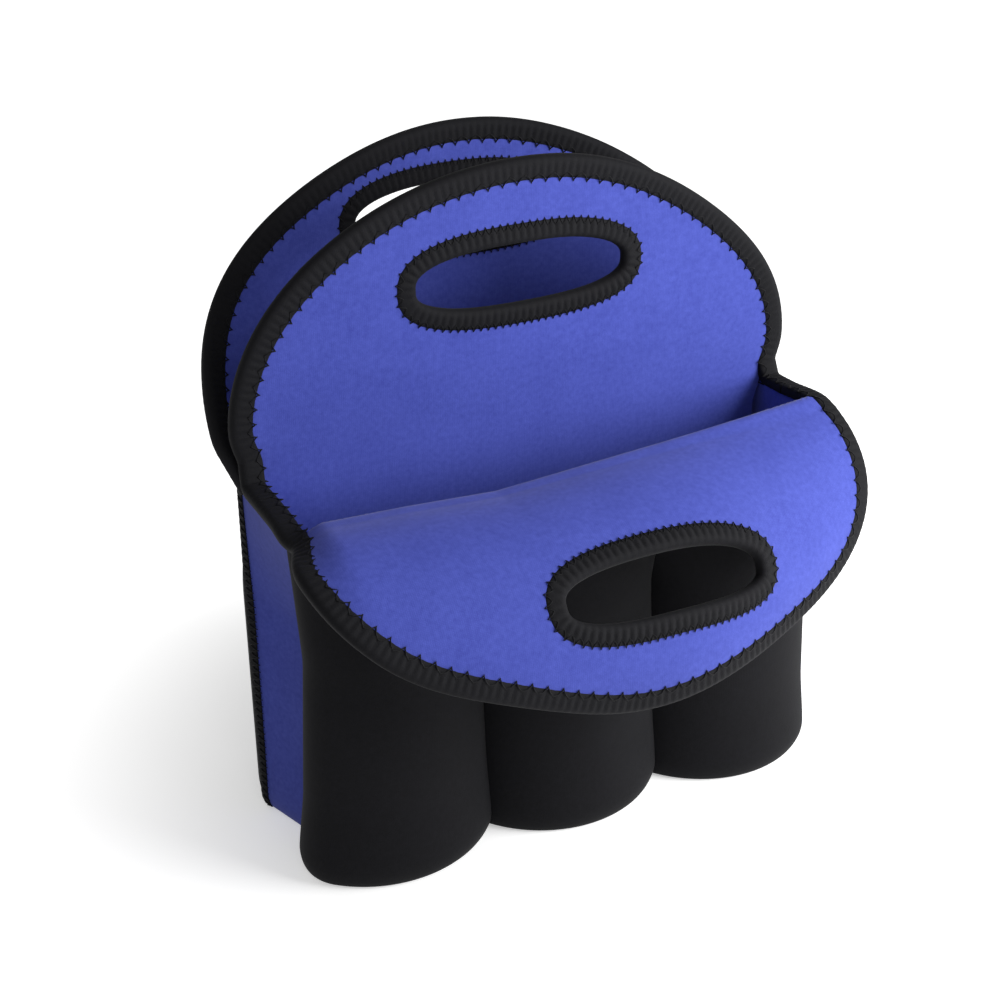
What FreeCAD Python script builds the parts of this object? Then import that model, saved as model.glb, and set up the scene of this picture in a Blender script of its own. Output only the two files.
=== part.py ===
import FreeCAD, Part
import math
import os

# Soft six-bottle carrier sewn from thick two-faced neoprene, black outside and blue inside.
# Frame: X to the right, Y to the back, Z up, origin on the floor under the middle of the divider.

# Sheet material and sewing
black_face = 2.0        # black half of the two-faced sheet
blue_face = 2.0         # blue half of the two-faced sheet
bond_gap = 0.15         # glue line between the halves
divider_sheet = 4.0     # plain blue sheet of divider and middle handle
web_sheet = 3.0
seam_gap = 0.3          # room between pieces that are sewn edge to edge
binding_thickness = 7.2
binding_width = 10.0
binding_wrap = 1.6      # tape beyond the cut edge of the sheet
binding_play = 0.2      # room between the sheet and the folded tape
seam_tape_thickness = 0.8
seam_tape_width = 7.0

# Tubes of the front wall
tube_pitch = 85.0
tube_bulge = 21.0
front_valley = 48.0     # divider plane to the valleys between the front tubes
corner_reach = 34.2     # tube middle to the start of its outer corner
corner_radius = 18.0
corner_end_angle = math.radians(30)
front_seam = 20.0       # divider plane to the front seam of the side panel
straight_height = 105.0

# Mouth, where the front wall folds over into the flap
mouth_height = 169.0
mouth_valley = 54.0
mouth_bulge = 2.0
mouth_corner_reach = 30.0
mouth_corner_radius = 12.0
mouth_corner_end_angle = math.radians(2)
mouth_front_seam = 36.0     # the seam runs forward towards the mouth
mouth_half_width = 116.0
notch_front_height = 160.0
notch_rear_height = 166.0
notch_front = 52.0      # divider plane to the front end of the notch
corner_top = 138.0      # top of the front tubes outside the fold

# Tubes of the back wall
back_half_width = 128.0
back_corner_radius = 50.0
back_depth = 65.0
back_seam = 8.0         # divider plane to the rear seam of the side panel
back_mouth_depth = 61.5

# Base
base_face = 2.0
base_lining = 2.0
roll_height = 9.0
roll_inset = 3.5
roll_height_shares = (0.0, 0.33, 1.0)
roll_inset_shares = (1.0, 0.3, 0.0)
base_margin = 0.4

# Arched handle panels
arch_half_width = 133.0
arch_rise = 100.0
arch_centre_height = 187.0
arch_waist_half_width = 130.0
back_arch_rise = 96.0
back_arch_centre_height = 193.0
hinge_play = 0.4
hand_hole_height = 238.5
back_hand_hole_height = 250.0
hand_hole_half_length = 49.0
hand_hole_half_height = 12.5
hole_binding_side = 9.0
hole_binding_width = 10.0
hole_roundness = 2.6    # exponent of the hand hole outline
hole_points = 24

# Back handle: curved in plan, leaning back towards its ends
back_handle_sweep = 51.0
back_handle_lean_share = 0.03
back_handle_end_lean_share = 0.67
back_hinge_depth = 35.0
back_tilt = math.radians(10.5)

# Front flap: a visor bent about its fold, more tightly towards its ends
flap_radius = 62.0
flap_radius_loss = 17.0
flap_loss_half_width = 115.0    # where the losses of radius and of start angle are measured
flap_start_angle = math.radians(11)
flap_start_loss = math.radians(6)
flap_drop_room = math.radians(9)
flap_view_angle = math.radians(28)
flap_notch_clear = 4.0
uncut_share = 0.8       # the sheet before cutting is as long as nearer the middle

station_shares = (-1.03, -0.87, -0.5, 0.0, 0.5, 0.87, 1.03)
overrun = 12.0

# Sums used throughout
sheet = black_face + bond_gap + blue_face
half_pitch = tube_pitch / 2
roll_levels = [(h * roll_height, i * roll_inset) for h, i in zip(roll_height_shares, roll_inset_shares)]
fold_y = -(mouth_valley - sheet)
inner = roll_inset + sheet + base_margin
base_top = base_face + bond_gap + base_lining
binding_swell = (binding_thickness - sheet) / 2   # tape proud of the sheet on each face


def point(x, y, z):
    return FreeCAD.Vector(x, y, z)


# Edges in the plan are tuples of two points for a line, or three for an arc
def plan_edge(points, z):
    corners = [point(x, y, z) for x, y in points]
    if len(corners) == 2:
        return Part.LineSegment(*corners).toShape()
    return Part.Arc(*corners).toShape()


def plan_ring(first, second, z):
    edges = [plan_edge(points, z) for points in first]
    edges.append(plan_edge((first[-1][-1], second[-1][-1]), z))
    edges += [plan_edge(points[::-1], z) for points in second[::-1]]
    edges.append(plan_edge((second[0][0], first[0][0]), z))
    return Part.Wire(edges)


def mirrored(points):
    return tuple((-x, y) for x, y in points[::-1])


# Front wall in plan at an inset from its black face: a seam line, a corner and three scallops
def front_chain(inset, at_mouth=False):
    valley = mouth_valley if at_mouth else front_valley
    bulge = mouth_bulge if at_mouth else tube_bulge
    reach = mouth_corner_reach if at_mouth else corner_reach
    corner = mouth_corner_radius if at_mouth else corner_radius
    end = mouth_corner_end_angle if at_mouth else corner_end_angle
    seam_y = -mouth_front_seam if at_mouth else -front_seam
    radius = (half_pitch ** 2 + bulge ** 2) / (2 * bulge)
    centre = radius - valley - bulge
    turn = math.asin(reach / radius)
    corner_x = -tube_pitch - (radius - corner) * math.sin(turn)
    corner_y = centre - (radius - corner) * math.cos(turn)
    small = corner - inset
    large = radius - inset

    def on_corner(angle):
        return (corner_x - small * math.sin(angle), corner_y - small * math.cos(angle))

    def on_tube(angle, tube):
        return (tube * tube_pitch - large * math.sin(angle), centre - large * math.cos(angle))

    last = math.pi / 2 + end
    start = on_corner(last)
    run = (seam_y - start[1]) / math.cos(end)
    seam = (start[0] + run * math.sin(end), seam_y)
    edge = math.asin(half_pitch / large)
    joint = on_tube(-edge, -1)
    left = [
        (seam, start),
        (start, on_corner((last + turn) / 2), on_corner(turn)),
        (on_corner(turn), on_tube((turn - edge) / 2, -1), joint),
    ]
    middle = (joint, on_tube(0, 0), (-joint[0], joint[1]))
    return left + [middle] + [mirrored(points) for points in left[::-1]]


# Where two circles of the back wall meet, the crossing further back
def back_valley(first, first_radius, second, second_radius):
    dx = second[0] - first[0]
    dy = second[1] - first[1]
    gap = math.hypot(dx, dy)
    along = (gap ** 2 + first_radius ** 2 - second_radius ** 2) / (2 * gap)
    across = math.sqrt(first_radius ** 2 - along ** 2)
    x = first[0] + (along * dx - across * dy) / gap
    y = first[1] + (along * dy + across * dx) / gap
    return (x, y)


# Back wall in plan at an inset from its black face: three scallops, or one wide arc at the mouth
def back_chain(inset, at_mouth=False):
    outer = (back_corner_radius - back_half_width, back_seam)
    ridge = math.sqrt(back_corner_radius ** 2 - (outer[0] + half_pitch) ** 2) + back_seam
    rise = back_depth - ridge
    middle_radius = (half_pitch ** 2 + rise ** 2) / (2 * rise)
    middle = (0, back_depth - middle_radius)
    outer_radius = back_corner_radius
    if at_mouth:
        rise = back_mouth_depth - back_seam
        middle_radius = (back_half_width ** 2 + rise ** 2) / (2 * rise)
        outer = (0, back_mouth_depth - middle_radius)
        middle = outer
        outer_radius = middle_radius
    large = outer_radius - inset

    def on_arc(x):
        return (x, outer[1] + math.sqrt(large ** 2 - (x - outer[0]) ** 2))

    end = (outer[0] - math.sqrt(large ** 2 - (back_seam - outer[1]) ** 2), back_seam)
    if at_mouth:
        joint = on_arc(-half_pitch)
    else:
        joint = back_valley(outer, large, middle, middle_radius - inset)
    left = (end, on_arc((end[0] + joint[0]) / 2), joint)
    top = (joint, (0, middle[1] + middle_radius - inset), (-joint[0], joint[1]))
    return [left, top, mirrored(left)]


# A wall: the chain between two insets, rolled in at the floor and leaning at the mouth
def wall(chain, outside, inside):
    rings = [plan_ring(chain(outside + roll), chain(inside + roll), z) for z, roll in roll_levels]
    rings.append(plan_ring(chain(outside), chain(inside), straight_height))
    rings.append(plan_ring(chain(outside, True), chain(inside, True), mouth_height))
    return Part.makeLoft(rings, True, True)


# Side panel between the front seam and the rear seam, left side
def side_wall(outside, inside, gap=seam_gap):
    rear_y = back_seam - seam_gap
    rings = []
    levels = [(z, roll, False) for z, roll in roll_levels]
    levels += [(straight_height, 0, False), (mouth_height, 0, True)]
    for z, roll, at_mouth in levels:
        front = [front_chain(roll + inset, at_mouth)[0][0] for inset in (outside, inside)]
        rear = [back_chain(roll + inset, at_mouth)[0][0][0] for inset in (outside, inside)]
        near, far = [(x, y + gap) for x, y in front]
        corners = [near, (rear[0], rear_y), (rear[1], rear_y), far]
        loop = [point(x, y, z) for x, y in corners]
        rings.append(Part.makePolygon(loop + loop[:1]))
    return Part.makeLoft(rings, True, True)


# Slab across the whole width with a given outline in the YZ plane
def cross_slab(outline, half_width):
    loop = [point(-half_width, y, z) for y, z in outline]
    face = Part.Face(Part.makePolygon(loop + loop[:1]))
    return face.extrude(point(2 * half_width, 0, 0))


def box_between(low, high):
    size = [b - a for a, b in zip(low, high)]
    return Part.makeBox(*size, point(*low))


def mirror_x(shape):
    return shape.mirror(point(0, 0, 0), point(1, 0, 0))


# The notch at each side: everything above a line that falls from the rear seam to the front
notch_slope_share = (notch_rear_height - notch_front_height) / (notch_front + back_seam)
full = arch_half_width + overrun


def notch_height(y):
    return notch_front_height + (y + notch_front) * notch_slope_share


def notch_slab(below, above):
    ends = (-notch_front, back_seam + overrun)
    outline = [(y, notch_height(y) - below) for y in ends]
    outline += [(y, notch_height(y) + above) for y in ends[::-1]]
    return cross_slab(outline, full)


notch_cut = notch_slab(0, mouth_height)
fold_cut = cross_slab(
    [(fold_y, mouth_height - seam_gap),
     (fold_y - mouth_valley, mouth_height - seam_gap - mouth_valley),
     (fold_y - mouth_valley, mouth_height + overrun),
     (fold_y + overrun, mouth_height + overrun),
     (fold_y + overrun, mouth_height - seam_gap)],
    full)
corner_cut = box_between(
    (mouth_half_width, -front_valley - tube_bulge - overrun, corner_top),
    (full, -notch_front, mouth_height + overrun))
corner_cuts = corner_cut.fuse(mirror_x(corner_cut))
side_limit = box_between(
    (-full, -notch_front - overrun, 0), (-mouth_half_width, back_seam, mouth_height + overrun))
side_limits = side_limit.fuse(mirror_x(side_limit))
notch_cuts = notch_cut.common(side_limits)


def front_wall(outside, inside):
    return wall(front_chain, outside, inside).cut(fold_cut).cut(corner_cuts).cut(notch_cuts)


# Hand hole outline: a rounded slot given by a superellipse, as shares of its half sizes
def slot_shares():
    shares = []
    for index in range(hole_points):
        angle = 2 * math.pi * index / hole_points
        c = math.cos(angle)
        s = math.sin(angle)
        x = math.copysign(abs(c) ** (2 / hole_roundness), c)
        z = math.copysign(abs(s) ** (2 / hole_roundness), s)
        shares.append((x, z))
    return shares


def closed_spline(points):
    curve = Part.BSplineCurve()
    curve.interpolate(points, True)
    return Part.Wire([curve.toShape()])


# Upright prism through the whole depth with an arch or hand hole outline
depth = back_depth + back_handle_sweep + overrun


def arch_prism(inset, rise, centre_height, bottom):
    half_width = arch_half_width - inset
    waist = arch_waist_half_width - inset
    right = point(half_width, -depth, centre_height)
    top = point(0, -depth, centre_height + rise - inset)
    ellipse = Part.Ellipse(right, top, point(0, -depth, centre_height))
    arc = Part.ArcOfEllipse(ellipse, 0, math.pi).toShape()
    left = point(-half_width, -depth, centre_height)
    low_left = point(-waist, -depth, bottom)
    low_right = point(waist, -depth, bottom)
    sides = Part.makePolygon([left, low_left, low_right, right])
    return Part.Face(Part.Wire([arc] + sides.Edges)).extrude(point(0, 2 * depth, 0))


def hole_prism(level, side, edge):
    length = hand_hole_half_length + side
    height = hand_hole_half_height + edge
    loop = [point(x * length, -depth, level + z * height) for x, z in slot_shares()]
    return Part.Face(closed_spline(loop)).extrude(point(0, 2 * depth, 0))


# The pieces of one arched panel from slabs of sheet, given the prisms of its outline and hole
def bound_panel(names, faces, thick, groove, outline, hole):
    edge = outline(binding_wrap)
    opening = hole(binding_wrap, binding_wrap)
    pieces = {}
    for name, face in faces.items():
        pieces[name] = face.common(edge).cut(opening)
    tape = thick.common(outline(0)).cut(outline(binding_width))
    pieces[names[0]] = tape.cut(groove.common(outline(binding_wrap - binding_play)))
    ring = thick.common(hole(hole_binding_side, hole_binding_width)).cut(hole(0, 0))
    slot = groove.cut(hole(binding_wrap - binding_play, binding_wrap - binding_play))
    pieces[names[1]] = ring.cut(slot)
    return pieces


# Middle handle: flat, standing on the divider
def flat_slab(half_thickness, bottom):
    top = arch_centre_height + arch_rise + overrun
    return box_between((-full, -half_thickness, bottom), (full, half_thickness, top))


def middle_handle():
    bottom = mouth_height + hinge_play
    half = divider_sheet / 2
    return bound_panel(
        ("middle_edge_binding", "middle_hole_binding"),
        {"middle_handle_panel": flat_slab(half, bottom)},
        flat_slab(binding_thickness / 2, bottom),
        flat_slab(half + binding_play, bottom),
        lambda inset: arch_prism(inset, arch_rise, arch_centre_height, bottom),
        lambda side, edge: hole_prism(hand_hole_height, side, edge))


# Back handle: straight upright lines at each station across, set along a swept curve
def back_handle_slab(front, rear):
    low = mouth_height
    high = back_arch_centre_height + back_arch_rise + overrun
    rings = []
    for share in station_shares:
        x = share * arch_waist_half_width
        y = back_mouth_depth - sheet / 2 - back_handle_sweep * share ** 2
        slope = 2 * back_handle_sweep * share / arch_waist_half_width
        stretch = math.hypot(1, slope)
        lean = (back_handle_lean_share + back_handle_end_lean_share * share ** 4) * (high - low)
        loop = [
            point(x, y + front * stretch, low),
            point(x, y + front * stretch + lean, high),
            point(x, y + rear * stretch + lean, high),
            point(x, y + rear * stretch, low),
        ]
        rings.append(Part.makePolygon(loop + loop[:1]))
    return Part.makeLoft(rings, True, False)


def back_handle():
    half = sheet / 2
    pieces = bound_panel(
        ("back_edge_binding", "back_hole_binding"),
        {"back_handle_panel": back_handle_slab(half - black_face, half),
         "back_handle_lining": back_handle_slab(-half, blue_face - half)},
        back_handle_slab(-binding_thickness / 2, binding_thickness / 2),
        back_handle_slab(-half - binding_play, half + binding_play),
        lambda inset: arch_prism(inset, back_arch_rise, back_arch_centre_height, mouth_height),
        lambda side, edge: hole_prism(back_hand_hole_height, side, edge))
    # room below the panel for its tilt both ways about the hinge line
    reach = depth
    rise = reach * math.tan(back_tilt) + hinge_play
    base = mouth_height - overrun
    wedge = cross_slab(
        [(back_hinge_depth, mouth_height + hinge_play),
         (back_hinge_depth + reach, mouth_height + rise),
         (back_hinge_depth + reach, base),
         (back_hinge_depth - reach, base),
         (back_hinge_depth - reach, mouth_height + rise)],
        full)
    return {name: piece.cut(wedge) for name, piece in pieces.items()}


# Front flap: at each station an arc from the fold, by depth below the blue face
def flap_point(x, run, below=0):
    loss = (x / flap_loss_half_width) ** 2
    radius = flap_radius - flap_radius_loss * loss
    start = flap_start_angle - flap_start_loss * loss
    angle = start - run / radius
    y = fold_y - radius * math.sin(start) + (radius - below) * math.sin(angle)
    z = mouth_height - radius * math.cos(start) + (radius - below) * math.cos(angle)
    return point(x, y, z)


flap_waist_run = arch_centre_height - mouth_height


def flap_run(x, inset=0):
    share = min(1, abs(x) / (arch_half_width - inset))
    return flap_waist_run + (arch_rise - inset) * math.sqrt(1 - share ** 2)


def flap_slab(upper, lower):
    rings = []
    for share in station_shares:
        x = share * arch_waist_half_width
        end = flap_run(x * uncut_share) + overrun
        top = Part.Arc(*[flap_point(x, end * part, upper) for part in (0, 1 / 2, 1)]).toShape()
        under = Part.Arc(*[flap_point(x, end * part, lower) for part in (1, 1 / 2, 0)]).toShape()
        far = Part.LineSegment(flap_point(x, end, upper), flap_point(x, end, lower)).toShape()
        near = Part.LineSegment(flap_point(x, 0, lower), flap_point(x, 0, upper)).toShape()
        rings.append(Part.Wire([top, far, under, near]))
    return Part.makeLoft(rings, True, False)


# Prisms through the flap along one slanted direction, from outlines laid on its blue face
flap_view = point(0, -math.cos(flap_view_angle), math.sin(flap_view_angle))


def flap_prism(wire_points, closed):
    far = depth + flap_radius
    shifted = []
    for spot in wire_points:
        level = spot.dot(flap_view)
        shifted.append(spot - flap_view * (level + far))
    if closed:
        wire = closed_spline(shifted)
    else:
        curve = Part.BSplineCurve()
        curve.interpolate(shifted[1:-1])
        wire = Part.Wire([
            Part.LineSegment(shifted[0], shifted[1]).toShape(),
            curve.toShape(),
            Part.LineSegment(shifted[-2], shifted[-1]).toShape(),
            Part.LineSegment(shifted[-1], shifted[0]).toShape(),
        ])
    return Part.Face(wire).extrude(flap_view * (2 * far))


def flap_outline(inset):
    steps = 12
    waist = mouth_height + overrun
    half_width = arch_half_width - inset
    outline = [point(-arch_waist_half_width + inset, fold_y, waist)]
    for index in range(steps + 1):
        angle = math.pi * (index / steps - 1 / 2)
        x = half_width * math.sin(angle)
        outline.append(flap_point(x, flap_run(x, inset)))
    outline.append(point(arch_waist_half_width - inset, fold_y, waist))
    return flap_prism(outline, False)


def flap_hole(side, edge):
    length = hand_hole_half_length + side
    height = hand_hole_half_height + edge
    middle = hand_hole_height - mouth_height
    return flap_prism([flap_point(x * length, middle + z * height) for x, z in slot_shares()], True)


def front_flap():
    pieces = bound_panel(
        ("flap_edge_binding", "flap_hole_binding"),
        {"flap_lining": flap_slab(0, blue_face),
         "flap_panel": flap_slab(sheet - black_face, sheet)},
        flap_slab(-binding_swell, sheet + binding_swell),
        flap_slab(-binding_play, sheet + binding_play),
        flap_outline,
        flap_hole)
    # mitre at the fold with room to hang lower, and room for the notch bindings at the ends
    down = math.pi / 4 + flap_drop_room
    reach = overrun
    mitre = cross_slab(
        [(fold_y - seam_gap, mouth_height + overrun),
         (fold_y - seam_gap, mouth_height),
         (fold_y - seam_gap - reach * math.sin(down), mouth_height - reach * math.cos(down)),
         (fold_y + reach, mouth_height - reach),
         (fold_y + reach, mouth_height + overrun)],
        full)
    notch_room = box_between(
        (mouth_half_width, -notch_front - flap_notch_clear, 0),
        (full + overrun, 0, mouth_height + overrun))
    room = mitre.fuse([notch_room, mirror_x(notch_room)])
    return {name: piece.cut(room) for name, piece in pieces.items()}


# Base: the inside outline of all four walls at the rolled-in floor level
def base_plate(low, high):
    front = front_chain(inner)
    rear = back_chain(inner)
    edges = [plan_edge(points, low) for points in front]
    edges.append(plan_edge((front[-1][-1], rear[-1][-1]), low))
    edges += [plan_edge(points[::-1], low) for points in rear[::-1]]
    edges.append(plan_edge((rear[0][0], front[0][0]), low))
    return Part.Face(Part.Wire(edges)).extrude(point(0, 0, high - low))


# Divider: a flat sheet between the side panels, narrower where the walls roll in
def divider():
    half = divider_sheet / 2

    def half_width(inset, at_mouth=False):
        front = front_chain(sheet + inset, at_mouth)[0][0]
        rear = back_chain(sheet + inset, at_mouth)[0][0]
        share = (-half - front[1]) / (rear[1] - front[1])
        return -(front[0] + (rear[0] - front[0]) * share) - seam_gap

    levels = [
        (half_width(roll_inset), base_top + seam_gap),
        (half_width(0), roll_height),
        (half_width(binding_swell), straight_height),
        (half_width(binding_swell, True), mouth_height - hinge_play),
    ]
    loop = [point(-x, -half, z) for x, z in levels] + [point(x, -half, z) for x, z in levels[::-1]]
    return Part.Face(Part.makePolygon(loop + loop[:1])).extrude(point(0, divider_sheet, 0))


# Webs: flat strips from the divider to the ridge inside each valley
def web(side, near, far):
    low = (side * half_pitch - web_sheet / 2, min(near, far), roll_height)
    high = (side * half_pitch + web_sheet / 2, max(near, far), straight_height)
    return box_between(low, high)


# Mouth binding: tape folded over the top edge of the notch on one side
def mouth_binding():
    swell = binding_swell
    thick = wall(front_chain, -swell, sheet + swell).fuse(side_wall(-swell, sheet + swell, 0))
    grip = wall(front_chain, -binding_play, sheet + binding_play)
    grip = grip.fuse(side_wall(-binding_play, sheet + binding_play, 0))
    tape = thick.common(notch_slab(binding_width - binding_wrap, binding_wrap)).common(side_limit)
    return tape.cut(grip.common(notch_slab(binding_width, binding_play)))


# Rear seam tape: a strip along the back panel beside its seam with the side panel
def seam_tape():
    turn = seam_tape_width / back_corner_radius
    gap_turn = seam_gap / back_corner_radius

    def chain(inset):
        radius = back_corner_radius - inset
        centre = back_corner_radius - back_half_width
        angles = (gap_turn, (gap_turn + turn) / 2, turn)
        spots = [(centre - radius * math.cos(a), back_seam + radius * math.sin(a)) for a in angles]
        return [tuple(spots)]

    ring = plan_ring(chain(-bond_gap - seam_tape_thickness), chain(-bond_gap), roll_height)
    return Part.Face(ring).extrude(point(0, 0, straight_height - roll_height))


pieces = {
    "base_panel": base_plate(0, base_face),
    "base_lining": base_plate(base_face + bond_gap, base_top),
    "front_panel": front_wall(0, black_face),
    "front_lining": front_wall(sheet - blue_face, sheet),
    "back_panel": wall(back_chain, 0, black_face),
    "back_lining": wall(back_chain, sheet - blue_face, sheet),
    "divider_panel": divider(),
}
pieces["left_side_panel"] = side_wall(0, sheet).cut(notch_cuts)
pieces["right_side_panel"] = mirror_x(pieces["left_side_panel"])
pieces["left_mouth_binding"] = mouth_binding()
pieces["right_mouth_binding"] = mirror_x(pieces["left_mouth_binding"])
pieces["left_rear_seam_tape"] = seam_tape()
pieces["right_rear_seam_tape"] = mirror_x(pieces["left_rear_seam_tape"])

front_ridge = front_chain(sheet)[2][-1][1]
back_ridge = back_chain(sheet)[0][-1][1]
for label, side in (("left", -1), ("right", 1)):
    pieces[label + "_front_web"] = web(side, -divider_sheet / 2 - seam_gap, front_ridge + seam_gap)
    pieces[label + "_rear_web"] = web(side, divider_sheet / 2 + seam_gap, back_ridge - seam_gap)

pieces.update(middle_handle())
pieces.update(back_handle())
pieces.update(front_flap())

os.makedirs("parts", exist_ok=True)
for name, piece in pieces.items():
    solid_count = len(piece.Solids)
    print(name, "solids", solid_count, "valid", piece.isValid(), "volume", round(piece.Volume))
    piece.exportStep("parts/" + name + ".step")
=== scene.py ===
import math
import bpy
import numpy as np
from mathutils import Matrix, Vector


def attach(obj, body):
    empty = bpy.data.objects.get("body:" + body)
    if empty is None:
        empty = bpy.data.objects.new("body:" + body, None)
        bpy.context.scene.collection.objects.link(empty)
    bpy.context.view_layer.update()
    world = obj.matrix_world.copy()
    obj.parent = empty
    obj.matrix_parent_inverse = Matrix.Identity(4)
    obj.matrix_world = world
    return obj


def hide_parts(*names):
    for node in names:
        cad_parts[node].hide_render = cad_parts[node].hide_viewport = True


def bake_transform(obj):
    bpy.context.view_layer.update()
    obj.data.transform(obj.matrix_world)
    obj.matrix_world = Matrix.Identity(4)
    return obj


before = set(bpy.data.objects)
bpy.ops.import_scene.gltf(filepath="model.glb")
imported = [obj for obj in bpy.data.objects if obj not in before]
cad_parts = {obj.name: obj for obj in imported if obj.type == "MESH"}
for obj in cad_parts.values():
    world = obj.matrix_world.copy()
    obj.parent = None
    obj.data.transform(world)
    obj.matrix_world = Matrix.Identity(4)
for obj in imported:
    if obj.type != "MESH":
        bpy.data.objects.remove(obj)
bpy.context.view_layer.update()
print("frame loaded,", len(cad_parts), "solids")

mm = 0.001  # every shape below is worked out in millimetres and stored in metres


def smooth(value, low, high):  # 0 below low, 1 above high, an S-shaped rise between them
    share = np.clip((value - low) / (high - low), 0, 1)
    return share * share * (3 - 2 * share)


def unit(vectors):
    return vectors / np.maximum(np.linalg.norm(vectors, axis=-1, keepdims=True), 1e-9)


def stack(x, y, z):
    return np.stack(np.broadcast_arrays(x, y, z), -1).astype(float)


def power(value, exponent):  # keeps the sign, so a circle becomes a squarer or rounder oval
    return np.sign(value) * np.abs(value) ** exponent


def looped(rows, closed):  # a closed line comes back to its first point
    return np.vstack([rows, rows[:1]]) if closed else rows


def arcLength(points, closed=False):  # length along a line from its start to each point
    steps = np.linalg.norm(np.diff(looped(points, closed), axis=0), axis=1)
    return np.concatenate([[0], np.cumsum(steps)])


def readAt(places, length, rows):  # rows of values at given lengths along a line
    return np.stack([np.interp(places, length, rows[:, k]) for k in range(rows.shape[1])], -1)


# Evenly spaced points along a line of points: lengths are added up and the ends of equal steps looked up
def evenly(points, count, closed=False):
    length = arcLength(points, closed)
    places = np.linspace(0, length[-1], count, endpoint=not closed)
    return readAt(places, length, looped(points, closed))


# Running mean over neighbours, repeated, which rounds the corners of a line of points
def rounded(points, passes, closed=False):
    for _ in range(passes):
        if closed:
            points = (np.roll(points, 1, 0) + 2 * points + np.roll(points, -1, 0)) / 4
        else:
            inner = (points[:-2] + 2 * points[1:-1] + points[2:]) / 4
            points = np.vstack([points[:1], inner, points[-1:]])
    return points


# Four-sided faces of a grid of rows and columns, joined round the columns if wrapped, or round both
def gridFaces(rows, cols, first=0, wrapCols=False, wrapRows=False):
    r = np.arange(rows if wrapRows else rows - 1)[:, None]
    c = np.arange(cols if wrapCols else cols - 1)[None, :]
    nextR, nextC = (r + 1) % rows, (c + 1) % cols
    corners = [r * cols + c, r * cols + nextC, nextR * cols + nextC, nextR * cols + c]
    return first + np.stack(np.broadcast_arrays(*corners), -1).reshape(-1, 4)


# A sheet with thickness: one grid for each face, and a strip of faces round every open edge
def shell(outer, inner, wrap=False):
    rows, cols = outer.shape[:2]
    count = rows * cols
    index = np.arange(count).reshape(rows, cols)
    if wrap:
        rims = [np.append(index[0], index[0, 0]), np.append(index[-1], index[-1, 0])[::-1]]
    else:
        rims = [np.concatenate([index[0], index[1:, -1], index[-1, -2::-1], index[-2::-1, 0]])]
    faces = [gridFaces(rows, cols, 0, wrap), gridFaces(rows, cols, count, wrap)[:, ::-1]]
    for rim in rims:
        faces.append(np.stack([rim[1:], rim[:-1], rim[:-1] + count, rim[1:] + count], -1))
    return np.vstack([outer.reshape(-1, 3), inner.reshape(-1, 3)]), np.vstack(faces)


# Rings of points carried along a path, joined up; an open end is closed by faces across its last ring
def tube(rings, closed=False):
    rows, cols = rings.shape[:2]
    faces = [gridFaces(rows, cols, 0, True, closed)]
    if not closed:
        k = np.arange(cols // 2 - 1)
        cap = np.stack([k, k + 1, cols - 2 - k, cols - 1 - k], -1)
        faces += [cap[:, ::-1], cap + (rows - 1) * cols]
    return rings.reshape(-1, 3), np.vstack(faces)


creases = {"sheet": 48, "tape": 75, "none": 0}  # edges that turn by more degrees than this look sharp


# Puts points and faces into a mesh; the sign of the enclosed volume says whether the faces look outwards
def makePiece(name, points, faces, material, uv=None, sharp=creases["sheet"]):
    p = points[faces]
    volume = (p[:, 0] * (np.cross(p[:, 1], p[:, 2]) + np.cross(p[:, 2], p[:, 3]))).sum()
    if volume < 0:
        faces = faces[:, ::-1]
    mesh = bpy.data.meshes.new(name)
    mesh.from_pydata((points * mm).tolist(), [], faces.tolist())
    mesh.polygons.foreach_set("use_smooth", np.ones(len(faces), bool))
    if uv is not None:
        layer = mesh.uv_layers.new(name="cut")
        layer.data.foreach_set("uv", (uv[faces.ravel()] * mm).astype(np.float32).ravel())
    mesh.materials.append(material)
    mesh.update()
    if sharp:
        mesh.set_sharp_from_angle(angle=math.radians(sharp))
    piece = bpy.data.objects.new(name, mesh)
    bpy.context.scene.collection.objects.link(piece)
    return piece


def bothUv(flat):  # the same cloth coordinates for the two faces of a sheet
    flat = flat.reshape(-1, 2)
    return np.vstack([flat, flat])


def hexColour(code):  # sRGB hex to linear light
    channels = np.array([int(code[k:k + 2], 16) / 255 for k in (1, 3, 5)])
    linear = np.where(channels <= 0.04045, channels / 12.92, ((channels + 0.055) / 1.055) ** 2.4)
    return (*linear, 1.0)


def addNode(tree, kind, settings=None, values=None, links=None):  # one node, its settings, values and inputs
    node = tree.nodes.new(kind)
    for key, value in (settings or {}).items():
        setattr(node, key, value)
    for key, value in (values or {}).items():
        node.inputs[key].default_value = value
    for key, source in (links or {}).items():
        tree.links.new(source, node.inputs[key])
    return node


def newMaterial(name):
    material = bpy.data.materials.new(name)
    material.use_nodes = True
    material.node_tree.nodes.clear()
    return material, material.node_tree


def noise(tree, place, sizeMm, detail, roughness=0.5):  # clouds of one size, fixed to the piece
    return addNode(tree, "ShaderNodeTexNoise", None,
                   {"Scale": 1 / (sizeMm * mm), "Detail": detail, "Roughness": roughness},
                   {"Vector": place.outputs["Object"]}).outputs["Fac"]


def mathNode(tree, operation, values, links):
    return addNode(tree, "ShaderNodeMath", {"operation": operation}, values, links).outputs[0]


def mixColours(tree, dark, light, share):
    return addNode(tree, "ShaderNodeMix", {"data_type": "RGBA"},
                   {6: hexColour(dark), 7: hexColour(light)}, {0: share}).outputs[2]


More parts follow.
